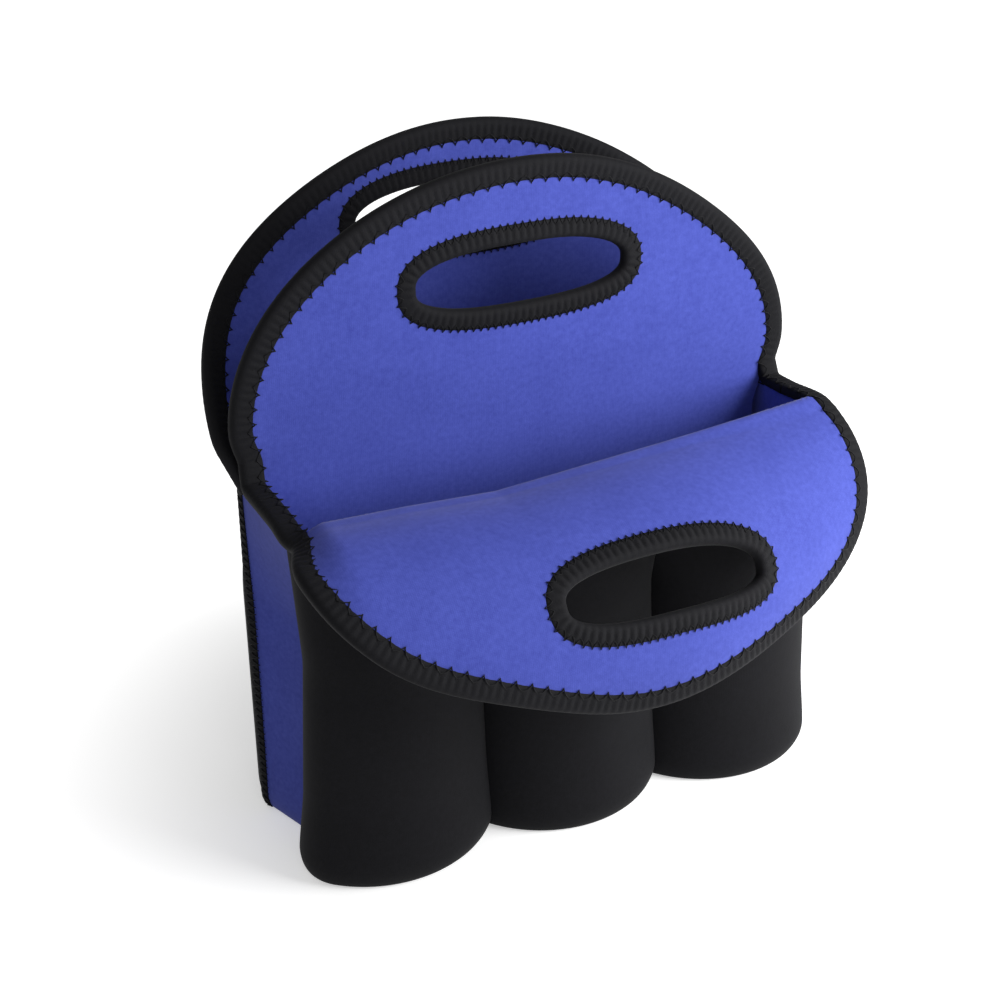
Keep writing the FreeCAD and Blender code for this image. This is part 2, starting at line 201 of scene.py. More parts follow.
neopreneLook = {
    "waleMm": 0.8,      # knit columns, nearly hidden under the brushed nap
    "courseMm": 0.65,
    "moundMm": 26.0,    # slow waves of the foam under the knit
    "napMm": 2.2,       # patches in which the brushed loops lie one way
    "fuzzMm": 0.5,
    "bandTurn": 0.314,  # texture scale at which a band is one unit wide
    "bands": {"Distortion": 1.2, "Detail": 1.0, "Detail Scale": 1.5},
    "loopShare": 0.35, "grainShare": 0.4, "moundShare": 0.45, "tintRange": (0.55, 1.37),
    "slowBump": 0.25, "slowDepthMm": 1.2, "fineDepthMm": 0.25,
    "ior": 1.45, "roughness": 0.82, "sheenRoughness": 0.45,
}


# Neoprene foam faced with brushed nylon jersey: matte, tiny loops, a mottled nap, a faint bloom at glancing angles
def neoprene(name, dark, light, sheen, bump, shine):
    look = neopreneLook
    material, tree = newMaterial(name)
    cloth = addNode(tree, "ShaderNodeUVMap", {"uv_map": "cut"})
    place = addNode(tree, "ShaderNodeTexCoord")
    wales, courses = [
        addNode(tree, "ShaderNodeTexWave", {"wave_type": "BANDS", "bands_direction": axis},
                {"Scale": look["bandTurn"] / (size * mm), **look["bands"]}, {"Vector": cloth.outputs["UV"]})
        for axis, size in (("X", look["waleMm"]), ("Y", look["courseMm"]))]
    loops = mathNode(tree, "MULTIPLY", None, {0: wales.outputs["Fac"], 1: courses.outputs["Fac"]})
    fuzz, mounds = noise(tree, place, look["fuzzMm"], 2.0), noise(tree, place, look["moundMm"], 2.0)
    nap = noise(tree, place, look["napMm"], 3.0)
    grain = mathNode(tree, "MULTIPLY_ADD", {1: look["loopShare"]}, {0: loops, 2: fuzz})
    patches = mathNode(tree, "MULTIPLY_ADD", {1: look["grainShare"]}, {0: grain, 2: nap})
    tint = mathNode(tree, "MULTIPLY_ADD", {1: look["moundShare"]}, {0: mounds, 2: patches})
    low, high = look["tintRange"]
    ramp = addNode(tree, "ShaderNodeMapRange", None, {"From Min": low, "From Max": high}, {"Value": tint})
    slow = addNode(tree, "ShaderNodeBump", None,
                   {"Strength": look["slowBump"], "Distance": look["slowDepthMm"] * mm}, {"Height": mounds})
    fine = addNode(tree, "ShaderNodeBump", None, {"Strength": bump, "Distance": look["fineDepthMm"] * mm},
                   {"Height": grain, "Normal": slow.outputs["Normal"]})
    skin = addNode(tree, "ShaderNodeBsdfPrincipled", None,
                   {"Roughness": look["roughness"], "IOR": look["ior"], "Specular IOR Level": shine,
                    "Sheen Weight": sheen, "Sheen Roughness": look["sheenRoughness"]},
                   {"Base Color": mixColours(tree, dark, light, ramp.outputs["Result"]),
                    "Normal": fine.outputs["Normal"]})
    addNode(tree, "ShaderNodeOutputMaterial", None, None, {"Surface": skin.outputs["BSDF"]})
    return material


tapeLook = {"detail": 3.0, "clumping": 0.6, "depthMm": 0.3, "ior": 1.5, "shine": 0.16, "sheen": 0.02,
            "sheenRoughness": 0.4}


# Stretch binding tape and sewing thread: soft black nylon, finer in grain than the sheet, nearly without shine
def blackTape(name, dark, light, sizeMm, roughness, bump):
    look = tapeLook
    material, tree = newMaterial(name)
    place = addNode(tree, "ShaderNodeTexCoord")
    grain = noise(tree, place, sizeMm, look["detail"], look["clumping"])
    relief = addNode(tree, "ShaderNodeBump", None, {"Strength": bump, "Distance": look["depthMm"] * mm},
                     {"Height": grain})
    skin = addNode(tree, "ShaderNodeBsdfPrincipled", None,
                   {"Roughness": roughness, "IOR": look["ior"], "Specular IOR Level": look["shine"],
                    "Sheen Weight": look["sheen"], "Sheen Roughness": look["sheenRoughness"]},
                   {"Base Color": mixColours(tree, dark, light, grain), "Normal": relief.outputs["Normal"]})
    addNode(tree, "ShaderNodeOutputMaterial", None, None, {"Surface": skin.outputs["BSDF"]})
    return material


blueKnit = neoprene("neopreneBlueJersey", "#303B92", "#4450AC", sheen=0.14, bump=0.2, shine=0.36)
blackKnit = neoprene("neopreneBlackJersey", "#09090C", "#111115", sheen=0.03, bump=0.24, shine=0.16)
bindingTape = blackTape("stretchBindingTape", "#0A0A0D", "#141418", sizeMm=0.7, roughness=0.8, bump=0.45)
sewingThread = blackTape("polyesterThread", "#08080A", "#131316", sizeMm=0.4, roughness=0.7, bump=0.3)
print("materials ready")

sheetSizes = {"black": 2.05, "gap": 0.05, "whole": 4.15, "divider": 4.0}

frontSizes = {
    "pitch": 85.0, "straight": 105.0, "mouth": 169.0,
    "low": {"valley": 48.0, "bulge": 21.0, "reach": 34.2, "corner": 18.0, "end": math.radians(30), "seam": 20.0},
    "high": {"valley": 54.0, "bulge": 2.0, "reach": 30.0, "corner": 12.0, "end": math.radians(2), "seam": 40.0},
    "samples": (8, 18, 40, 42),     # seam line, corner, outer tube, middle tube
    "rollDepth": 3.5, "rollHeight": 9.0,
    "easeHeight": (0, 10, 35, 100, 140, 169), "ease": (-2.5, -2.5, 0.5, 4.0, 3.0, 0.0),
    "foldTop": 158.0, "cornerFall": 3.0, "cornerHalf": (104.0, 124.0), "topLean": 0.8,
}
rowSizes = {  # heights of a wall's rows: near the floor for the outer face and the lining, then how many above
    "floor": (0, 0.5, 1.1, 2.0, 3.2, 4.8, 6.8, 9.0), "lining": (4.25, 5.2, 7.0, 9.0), "rising": 33,
}
backSizes = {
    "half": 128.0, "corner": 50.0, "depth": 65.0, "seam": 8.0, "mouthDepth": 61.5, "samples": (60, 44),
}
notchSizes = {
    "y": (-52, -40, -20, 0, 8), "front": (-55.0, -47.0),
    "left": (163.0, 167.0, 168.0, 168.6, 169.0), "right": (171.0, 173.5, 171.0, 170.0, 169.0),
}
foldSizes = {
    "x": (-120, -80, -40, 0, 40, 80, 120), "lift": (0, -1, -3, 0, 3, 6, 8.5), "sway": (0, 0, 0, 0, 0, 1, 5),
}


def notchHeight(y, left):  # top of the wall beside the mouth, read off a line of heights for each side
    n = notchSizes
    return np.where(left, np.interp(y, n["y"], n["left"]), np.interp(y, n["y"], n["right"]))


# Front wall in plan: seam line, corner arc, then arcs of three equal circles that meet in valleys, mirrored
def frontPlan(inset, form):
    f = frontSizes
    half = f["pitch"] / 2
    radius = (half ** 2 + form["bulge"] ** 2) / (2 * form["bulge"])
    centre = radius - form["valley"] - form["bulge"]
    turn = math.asin(form["reach"] / radius)
    cornerX = -f["pitch"] - (radius - form["corner"]) * math.sin(turn)
    cornerY = centre - (radius - form["corner"]) * math.cos(turn)
    last = math.pi / 2 + form["end"]
    small, large = form["corner"] - inset, radius - inset
    edge = math.asin(half / large)
    lineCount, cornerCount, outerCount, middleCount = f["samples"]
    a = np.linspace(last, turn, cornerCount, endpoint=False)
    corner = np.stack([cornerX - small * np.sin(a), cornerY - small * np.cos(a)], -1)
    run = (-form["seam"] - corner[0, 1]) / math.cos(form["end"])
    t = np.linspace(1, 0, lineCount, endpoint=False)[:, None]
    line = corner[0] + t * run * np.array([math.sin(form["end"]), math.cos(form["end"])])
    a = np.linspace(turn, -edge, outerCount, endpoint=False)
    outer = np.stack([-f["pitch"] - large * np.sin(a), centre - large * np.cos(a)], -1)
    a = np.linspace(edge, 0, middleCount // 2 + 1)
    middle = np.stack([-large * np.sin(a), centre - large * np.cos(a)], -1)
    left = np.vstack([line, corner, outer, middle])
    return np.vstack([left, left[-2::-1] * [-1, 1]])


# Back wall in plan: two outer circles and a middle one; at the mouth one wide arc
def backPlan(inset, atMouth):
    b = backSizes
    half = frontSizes["pitch"] / 2
    outerX, outerY, outerR = b["corner"] - b["half"], b["seam"], b["corner"]
    ridge = math.sqrt(outerR ** 2 - (outerX + half) ** 2) + outerY
    rise = b["depth"] - ridge
    middleR = (half ** 2 + rise ** 2) / (2 * rise)
    middleY = b["depth"] - middleR
    outerCount, middleCount = b["samples"]
    if atMouth:
        rise = b["mouthDepth"] - b["seam"]
        middleR = outerR = (b["half"] ** 2 + rise ** 2) / (2 * rise)
        outerX, outerY = 0, b["mouthDepth"] - middleR
        middleY = outerY
    large, central = outerR - inset, middleR - inset
    endX = outerX - math.sqrt(large ** 2 - (b["seam"] - outerY) ** 2)
    if atMouth:
        jointX = -half
    else:
        gap = math.hypot(outerX, middleY - outerY)
        along = (gap ** 2 + large ** 2 - central ** 2) / (2 * gap)
        across = math.sqrt(large ** 2 - along ** 2)
        jointX = outerX + (along * -outerX - across * (middleY - outerY)) / gap
    low = math.acos(np.clip((endX - outerX) / large, -1, 1))
    high = math.acos((jointX - outerX) / large)
    a = np.linspace(low, high, outerCount, endpoint=False)
    outer = np.stack([outerX + large * np.cos(a), outerY + large * np.sin(a)], -1)
    a = np.linspace(math.acos(jointX / central), math.pi / 2, middleCount // 2 + 1)
    middle = np.stack([central * np.cos(a), middleY + central * np.sin(a)], -1)
    left = np.vstack([outer, middle])
    return np.vstack([left, left[-2::-1] * [-1, 1]])


# Heights of a wall's rows: close together where it rolls in at the floor, then spread up to its top line
def wallRows(top, foot="floor"):
    low = np.array(rowSizes[foot])
    share = np.linspace(0, 1, rowSizes["rising"] + 1)[1:]
    rise = low[-1] + share[:, None] * (np.atleast_1d(top)[None, :] - low[-1])
    return np.vstack([np.repeat(low[:, None], rise.shape[1], 1), rise])


# A wall point: its plan line moved in by a quarter ellipse near the floor, leaning to the mouth's plan above;
# the front tubes are fuller at the floor and narrower half way up, and the back wall starts to lean softly
def wallGrid(plan, forms, inset, z):
    f = frontSizes
    roll = f["rollDepth"] * (1 - np.sqrt(1 - np.clip(1 - z / f["rollHeight"], 0, 1) ** 2))
    rows = []
    for k in range(z.shape[0]):
        ease = np.interp(z[k].mean(), f["easeHeight"], f["ease"]) if plan is frontPlan else 0.0
        low = plan(inset + float(roll[k].max()) + ease, forms[0])
        high = plan(inset, forms[1])
        share = np.clip((z[k] - f["straight"]) / (f["mouth"] - f["straight"]), 0, 1)[:, None]
        if plan is backPlan:
            share = share ** 2 * (2 - share)
        rows.append(np.concatenate([low + (high - low) * share, z[k][:, None]], -1))
    return np.stack(rows)


frontForms = (frontSizes["low"], frontSizes["high"])
backForms = (False, True)


# Top line of the front wall: the notch at the sides, lower at the corners, the fold along the middle
def frontTop():
    f = frontSizes
    low, high = frontPlan(0, frontForms[0]), frontPlan(0, frontForms[1])
    x, y = (low + (high - low) * f["topLean"]).T
    fold = f["foldTop"] - f["cornerFall"] * smooth(np.abs(x), *f["cornerHalf"])
    fold = fold + np.interp(x, foldSizes["x"], foldSizes["lift"])
    beside = smooth(y, *notchSizes["front"])
    return fold * (1 - beside) + notchHeight(y, x < 0) * beside


def wallPiece(name, plan, forms, top, outside, inside, foot, material, node):
    z = wallRows(top, foot)
    outer, inner = wallGrid(plan, forms, outside, z), wallGrid(plan, forms, inside, z)
    flat = np.stack([np.broadcast_to(arcLength(plan(0, forms[0])), z.shape), z], -1)
    points, faces = shell(outer, inner)
    piece = makePiece(name, points, faces, material, bothUv(flat))
    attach(piece, "carrier_body")
    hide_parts(node)


s = sheetSizes
frontLine = frontTop()
backLine = np.full(len(backPlan(0, False)), frontSizes["mouth"])
liningDrop = 4.0  # the front lining ends lower, so that it doesn't show under a folded-up flap
for label, plan, forms, topLine, drop in (("front", frontPlan, frontForms, frontLine, liningDrop),
                                          ("back", backPlan, backForms, backLine, 0)):
    wallPiece(label + "_skin", plan, forms, topLine, 0, s["black"], "floor",
              blackKnit, label + "_panel")
    wallPiece(label + "_inside", plan, forms, topLine - drop, s["black"] + s["gap"], s["whole"], "lining",
              blueKnit, label + "_lining")
print("walls made")

sideSizes = {"samples": 16, "span": (0.01, 0.99), "bow": 1.2, "bowFrom": (0, 60), "bowUntil": (105, 145)}


# The seam end of a wall at each height, which is the first point of its plan line
def seamColumn(plan, forms, inset, z):
    count = len(plan(0, forms[0]))
    return wallGrid(plan, forms, inset, np.repeat(z[:, None], count, 1))[:, 0]


# Side panel: straight lines from the front seam to the rear seam, drawn in a little along the middle
def sidePanel(label, side):
    q = sideSizes
    share = np.linspace(*q["span"], q["samples"])
    seam = frontForms[1]["seam"]
    z = wallRows(notchHeight(-seam + share * (seam + backSizes["seam"]), side > 0))
    grids = []
    for inset in (0, s["whole"]):
        front = [seamColumn(frontPlan, frontForms, inset, column) for column in z.T]
        rear = [seamColumn(backPlan, backForms, inset, column) for column in z.T]
        grid = np.stack(front, 1) * (1 - share[:, None]) + np.stack(rear, 1) * share[:, None]
        middle = smooth(z, *q["bowFrom"]) * (1 - smooth(z, *q["bowUntil"]))
        grid[..., 0] += q["bow"] * np.sin(np.pi * share) * middle
        grids.append(grid * [side, 1, 1])
    points, quads = shell(*grids)
    piece = makePiece(label + "_gusset", points, quads, blueKnit, bothUv(grids[0][..., 1:]))
    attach(piece, "carrier_body")
    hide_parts(label + "_side_panel")


for label, side in (("left", 1), ("right", -1)):
    sidePanel(label, side)
print("side panels made")

baseSizes = {
    "frontInset": 2.1, "backInset": 4.6, "count": 240, "rows": 40, "middleY": -6.0, "middleX": 104.0,
    "middleAt": (0, 0.03, 0.97, 1), "lip": 0.7, "lipRun": 4.0, "lipAlong": 240, "lipAcross": 110,
}


# Base: lines from the front outline to the back one, bent at a middle line so that they stay inside the waist of
# the plan, with rounded lips at the edge of each layer
def basePiece(name, low, high, material, node):
    b = baseSizes
    front = evenly(frontPlan(b["frontInset"], frontForms[0]), b["count"])
    back = evenly(backPlan(b["backInset"], False), b["count"])
    u = np.linspace(0, 1, b["count"])[None, :]
    end = (front[0, 0] + back[0, 0]) / 2
    middleX = np.interp(u[0], b["middleAt"], (end, -b["middleX"], b["middleX"], -end))
    middle = stack(middleX, b["middleY"], 0)[:, :2]
    t = np.linspace(0, 1, b["rows"])[:, None, None]
    plan = np.where(t < 0.5, front + (middle - front) * 2 * t, middle + (back - middle) * (2 * t - 1))
    along, across = np.minimum(u, 1 - u), np.minimum(t, 1 - t)[..., 0]
    rim = np.minimum(along * b["lipAlong"], across * b["lipAcross"])
    top = high - b["lip"] * (1 - np.sqrt(1 - np.clip(1 - rim / b["lipRun"], 0, 1) ** 2))
    points, quads = shell(stack(plan[..., 0], plan[..., 1], top), stack(plan[..., 0], plan[..., 1], low))
    piece = makePiece(name, points, quads, material, bothUv(plan))
    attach(piece, "carrier_body")
    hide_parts(node)


basePiece("base_skin", 0, s["black"], blackKnit, "base_panel")
basePiece("base_inside", s["black"] + s["gap"], s["whole"], blueKnit, "base_lining")

webSizes = {
    "thick": 3.0, "low": 5.0, "high": 105.0, "front": (-40.5, -2.1), "rear": (2.1, 36.3), "samples": (22, 40),
    "bow": 1.6, "dip": 3.0, "lipFrom": 0.97, "lipRun": 0.032, "lipLeast": 0.05,
}


# Web: a strip from the divider to a valley, bowed a little to one side, its upper edge dipping
def webPiece(label, side, place):
    w = webSizes
    near, far = w[place]
    cols, rows = w["samples"]
    y, share = np.meshgrid(np.linspace(near, far, cols), np.linspace(0, 1, rows))
    across = (y - near) / (far - near)
    z = w["low"] + share * (w["high"] - w["dip"] * np.sin(np.pi * across) - w["low"])
    bow = w["bow"] * np.sin(np.pi * across) * np.sin(np.pi * share)
    lip = np.clip((share - w["lipFrom"]) / w["lipRun"], 0, 1)
    half = w["thick"] / 2 * np.sqrt(np.clip(1 - lip ** 2, w["lipLeast"], 1))
    x = side * (frontSizes["pitch"] / 2) + bow
    points, quads = shell(stack(x + half, y, z), stack(x - half, y, z))
    flat = np.stack([y, z], -1)
    piece = makePiece(label + "_" + place + "_partition", points, quads, blueKnit, bothUv(flat))
    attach(piece, "carrier_body")
    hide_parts(label + "_" + place + "_web")


for label, side in (("left", -1), ("right", 1)):
    for place in ("front", "rear"):
        webPiece(label, side, place)
print("base and webs made")

archSizes = {
    "waist": 130.0, "sheetInset": 2.6, "sagFrom": (10.0, 125.0), "sagAbove": (190.0, 270.0),
    "middle": {"half": 133.0, "rise": 100.0, "centre": 187.0, "sag": 6.5, "foot": 174.0},
    "back": {"half": 137.5, "rise": 107.0, "centre": 182.0, "sag": 5.0, "lean": 0.03, "endLean": 0.67},
    "wave": {"high": 1.2, "length": 38.0, "from": (175, 215), "until": (255, 290)},
    "samples": 500, "passes": 12,
}
dividerSide = np.array([[120.5, 165], [118.6, 158], [118.6, 105], [119, 12], [114, 4.6]])  # down its right edge
holeSizes = {
    "exponent": 2.6, "height": 238.5, "clear": (49.0, 12.5), "binding": (9.0, 10.0), "sewn": 3.0, "tapeSamples": 480,
    "back": 250.0, "flap": 6.0, "flapClear": (45.0, 12.0), "shift": {"middle": -2.5, "back": -6.0},
}
gridSizes = {"middle": (56, 400), "back": (40, 400), "flap": (80, 520), "outline": 400, "foot": 160}


# Arch edge: straight from the waist up to the widest place, then half an ellipse, at an inset
def archLine(form, inset, bottom):
    t = np.linspace(math.pi, 0, 200)
    x, z = (form["half"] - inset) * np.cos(t), form["centre"] + (form["rise"] - inset) * np.sin(t)
    foot = np.array([[-archSizes["waist"] + inset, bottom]])
    line = np.vstack([foot, np.stack([x, z], -1), foot * [-1, 1]])
    return rounded(evenly(line, archSizes["samples"]), archSizes["passes"])


# Hand hole: a superellipse, cosine and sine raised to a power and scaled by the half sizes
def holeLine(centre, halfLength, halfHeight, count=240):
    t = np.linspace(0, 2 * math.pi, count, endpoint=False)
    e = 2 / holeSizes["exponent"]
    return np.array(centre) + np.stack([halfLength * power(np.cos(t), e), halfHeight * power(np.sin(t), e)], -1)


# Sheet with a hole: rays from the middle of the hole, each divided evenly between hole and outline
def ringGrid(outline, hole, rows, around):
    centre = (hole.max(0) + hole.min(0)) / 2
    angle = np.linspace(-math.pi, math.pi, around, endpoint=False)
    reach = []
    for loop in (hole, outline):
        away = loop - centre
        turn = np.arctan2(away[:, 1], away[:, 0])
        order = np.argsort(turn)
        reach.append(np.interp(angle, turn[order], np.hypot(*away.T)[order], period=2 * math.pi))
    share = np.linspace(0, 1, rows)[:, None]
    radius = reach[0] + (reach[1] - reach[0]) * share
    return centre + radius[..., None] * np.stack([np.cos(angle), np.sin(angle)], -1)


# Direction of a sheet's blue face: the cross product of its two small steps, across and up
def blueFace(surface, u, v):
    step = 1.2
    across = surface(u + step, v) - surface(u - step, v)
    upward = surface(u, v + step) - surface(u, v - step)
    return unit(np.cross(across, upward))


def sheetPiece(name, surface, grid, low, high, material):
    u, v = grid[..., 0], grid[..., 1]
    middle, face = surface(u, v), blueFace(surface, u, v)
    points, faces = shell(middle + face * high, middle + face * low, True)
    return makePiece(name, points, faces, material, bothUv(grid))


def archSag(x, z, form):  # the right shoulder of an arch hangs a little lower
    a = archSizes
    return z - form["sag"] * smooth(x, *a["sagFrom"]) * smooth(z, *a["sagAbove"])


# Middle sheet: flat and upright, with a slow wave so that it doesn't look like a board
def middleSurface(x, z):
    w = archSizes["wave"]
    y = w["high"] * np.sin(x / w["length"]) * smooth(z, *w["from"]) * (1 - smooth(z, *w["until"]))
    return stack(x, y, archSag(x, z, archSizes["middle"]))


# Back handle: follows the back wall's mouth arc in plan and leans back more towards its ends
def backSurface(x, z):
    b, form = backSizes, archSizes["back"]
    rise = b["mouthDepth"] - b["seam"]
    radius = (b["half"] ** 2 + rise ** 2) / (2 * rise)
    mid = radius - s["whole"] / 2
    y = b["mouthDepth"] - radius + np.sqrt(mid ** 2 - x ** 2)
    lean = (form["lean"] + form["endLean"] * (x / archSizes["waist"]) ** 4) * (z - frontSizes["mouth"])
    return stack(x, y + lean, archSag(x, z, form))


flapSizes = {
    "foldY": -49.85, "mouth": 169.0, "radius": 62.0, "lossHalf": 115.0, "start": 11.0,
    "left": {"radiusLoss": 14.1, "startLoss": -7.1, "half": 134.6, "dip": 6.6,
             "ends": ((110, -13), (118.6, -6), (124.6, 5), (129.2, 15))},
    "right": {"radiusLoss": 19.6, "startLoss": 19.4, "half": 121.8, "dip": 5.0,
              "ends": ((108, -13), (113.5, -6), (117, 5), (120, 15))},
    "waistRun": 26.0, "rise": 96.3, "foldSoft": 8.0,
    "drop": 10.5, "dropFrom": (113.0, 130.0), "dropRun": 30.0, "widen": 7.4, "widenFrom": (60.0, 125.0),
    "endInset": 0.6, "trim": 4.5, "trimShares": (0.5, 1, 1, 0.6), "samples": 500, "passes": 10,
}


def flapSide(x, key):  # the two halves of the flap bend differently
    return np.where(x > 0, flapSizes["right"][key], flapSizes["left"][key])


# Flap: from the fold an arc whose radius and start angle shrink with the square of x, the wall below the fold
# straight down, the two mixed over a few millimetres; the ends of the fold hang lower, and it climbs to the right.
# The distance from the fold counts backwards, so that the blue face comes out on top
def flapSurface(x, back):
    f = flapSizes
    run = -back
    loss = (x / f["lossHalf"]) ** 2
    radius = f["radius"] - flapSide(x, "radiusLoss") * loss
    start = np.radians(f["start"] - flapSide(x, "startLoss") * loss)
    angle = start - run / radius
    below = s["whole"] / 2
    y = f["foldY"] - radius * np.sin(start) + (radius - below) * np.sin(angle)
    z = f["mouth"] - radius * np.cos(start) + (radius - below) * np.cos(angle)
    mix = smooth(run, -f["foldSoft"], f["foldSoft"])
    y = mix * y + (1 - mix) * (f["foldY"] - below)
    z = mix * z + (1 - mix) * (f["mouth"] + run)
    fade = np.exp(-np.maximum(run, 0) / f["dropRun"])
    y = y + np.interp(x, foldSizes["x"], foldSizes["sway"]) * fade
    z = z - f["drop"] * smooth(np.abs(x), *f["dropFrom"]) * fade
    z = z + np.interp(x, foldSizes["x"], foldSizes["lift"]) * fade
    return stack(x + f["widen"] * smooth(x, *f["widenFrom"]), y, z)


# Flap outline in cloth coordinates: half an ellipse round the front, cut back towards the ends of the fold; the sheet
# is trimmed more at the right end, where the tape turns onto the rim
def flapLine(inset, trim=0.0):
    f = flapSizes
    t = np.linspace(math.pi, 0, 200)
    half = flapSide(np.cos(t), "half")
    x = (half - inset) * np.cos(t)
    run = f["waistRun"] + (f["rise"] - inset) * np.sin(t) - flapSide(x, "dip") * np.sin(np.pi * x / half) ** 2
    left, right = [np.array(f[key]["ends"], float) for key in ("left", "right")]
    inward = np.linspace(0, f["endInset"] * inset, len(left))
    left[:, 0] -= inward
    right[:, 0] -= inward + trim * np.array(f["trimShares"])
    line = np.vstack([left * [-1, 1], np.stack([x, run], -1), right[::-1]])
    return rounded(evenly(line, f["samples"]), f["passes"]) * [1, -1]


def closedLine(line, count):  # adds a straight bottom edge so that the outline goes all the way round
    t = np.linspace(0, 1, count)[1:-1, None]
    return np.vstack([line, line[-1] + t * (line[0] - line[-1])])


# Where the bend of each handle starts and ends between two bodies, in metres
blends = {
    "flap": ("carrier_body", "front_flap", (0, -0.0500, 0.1667), (0, -0.0601, 0.1697)),
    "middle": ("carrier_body", "middle_handle", (0, 0, 0.168), (0, 0, 0.184)),
    "back": ("carrier_body", "back_handle", (0, 0.035, 0.1692), (0, 0.035, 0.187)),
}


def sheetHole(centre, clear):  # the sheet's own hole, which the tape covers
    return holeLine(centre, clear[0] + holeSizes["sewn"], clear[1] + holeSizes["sewn"])


# Two layers of a laminate in one grid: the black face below, the blue one on top
def laminate(label, surface, grid, trim):
    half, seam = s["whole"] / 2, s["black"] - s["whole"] / 2
    for face, low, high, material, slotName, kind, tapes in (
            ("_skin", -half, seam, blackKnit, "neoprene_black", "_panel", []),
            ("_inside", seam + s["gap"], half, blueKnit, "neoprene_blue", "_lining", trim)):
        piece = sheetPiece(label + face, surface, grid, low, high, material)
        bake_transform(piece)
        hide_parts(label + kind)


half, dividerHalf, inset = s["whole"] / 2, s["divider"] / 2, archSizes["sheetInset"]
shift = holeSizes["shift"]
holeCentres = {
    "middle": (shift["middle"], holeSizes["height"]), "back": (shift["back"], holeSizes["back"]),
    "flap": (holeSizes["flap"], flapSizes["mouth"] - holeSizes["height"]),
}
dividerLine = evenly(np.vstack([dividerSide, dividerSide[::-1] * [-1, 1]]), gridSizes["outline"])
outline = np.vstack([archLine(archSizes["middle"], inset, archSizes["middle"]["foot"]), dividerLine])
grid = ringGrid(outline, sheetHole(holeCentres["middle"], holeSizes["clear"]), *gridSizes["middle"])
piece = sheetPiece("middle_sheet", middleSurface, grid, -dividerHalf, dividerHalf, blueKnit)
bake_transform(piece)
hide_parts("divider_panel", "middle_handle_panel")

outline = closedLine(archLine(archSizes["back"], inset, frontSizes["mouth"]), gridSizes["foot"])
grid = ringGrid(outline, sheetHole(holeCentres["back"], holeSizes["clear"]), *gridSizes["back"])
laminate("back_handle", backSurface, grid,
         ["back_edge_tape", "back_hole_tape"])

outline = closedLine(flapLine(inset, flapSizes["trim"]), gridSizes["foot"])
grid = ringGrid(outline, sheetHole(holeCentres["flap"], holeSizes["flapClear"]), *gridSizes["flap"])
laminate("flap", flapSurface, grid,
         ["front_edge_tape", "flap_hole_tape"])
print("handle sheets made")

edgeTape = {
    "halfWidth": 5.0, "outerHalf": 3.4, "innerHalf": 2.55, "pitch": 6.8, "pit": 0.45, "ripple": 0.04,
    "step": 0.75, "thread": 0.28, "onSheet": 0.9,
}
holeTape = {
    "halfWidth": 4.6, "outerHalf": 3.4, "innerHalf": 2.6, "pitch": 3.4, "pit": 0.5, "ripple": 0.05,
    "step": 0.55, "thread": 0.22, "onSheet": 0.45,
}
tapeForm = {  # cross section: powers that square it off at the fold and at the sewn edge, and the row of pits
    "around": 24, "thinning": (-0.9, 0.6), "foldWidth": 0.8, "foldHeight": 0.72, "sewnWidth": 0.5,
    "sewnHeight": 0.45, "pitPitch": 3.4, "pitAt": -0.05, "pitWidth": 0.25,
}
threadSizes = {  # one stitch: places along it, swings between tape (-1) and sheet (1), heights above them
    "around": 6, "onTape": 2.9, "lift": (0.1, 0.17, 0.25, 0.12), "liftAt": (-1.0, -0.6, 0.05, 0.06),
    "offsets": (0, 0.26, 0.46, 0.5, 0.54, 0.74), "swings": (-1.0, -0.6, 0.05, 1.0, 0.05, -0.6),
}


def tangents(path, closed):
    if closed:
        return unit(np.roll(path, -1, 0) - np.roll(path, 1, 0))
    return unit(np.gradient(path, axis=0))


def wavelets(arc, pitch):  # 1 at each stitch and 0 half way between two
    return (0.5 + 0.5 * np.cos(2 * math.pi * arc / pitch))[:, None]


def carried(path, inward, up, w, h):  # a cross section set across a path at each of its points
    return path[:, None] + inward[:, None] * w[..., None] + up[:, None] * h[..., None]


# Folded tape: round at the fold, squarer and thinner where it is sewn, carried along the edge; along its middle
# the stitches draw it in, one pit for each
def tapeRings(path, normal, sizes, arc, closed):
    form = tapeForm
    along = tangents(path, closed)
    inward = unit(np.cross(normal, along))
    up = unit(np.cross(along, inward))
    phi = np.linspace(0, 2 * math.pi, form["around"], endpoint=False)[None, :]
    a, b = np.cos(phi), np.sin(phi)
    stitch = wavelets(arc, form["pitPitch"])
    height = sizes["innerHalf"] + (sizes["outerHalf"] - sizes["innerHalf"]) * smooth(a, *form["thinning"])
    dent = sizes["pit"] * stitch ** 2 * np.exp(-((a - form["pitAt"]) / form["pitWidth"]) ** 2)
    height = height * (1 - sizes["ripple"] * stitch) - dent
    w = -sizes["halfWidth"] * np.where(a > 0, power(a, form["foldWidth"]), power(a, form["sewnWidth"]))
    h = height * np.where(a > 0, power(b, form["foldHeight"]), power(b, form["sewnHeight"]))
    return carried(path, inward, up, w, h), inward, up


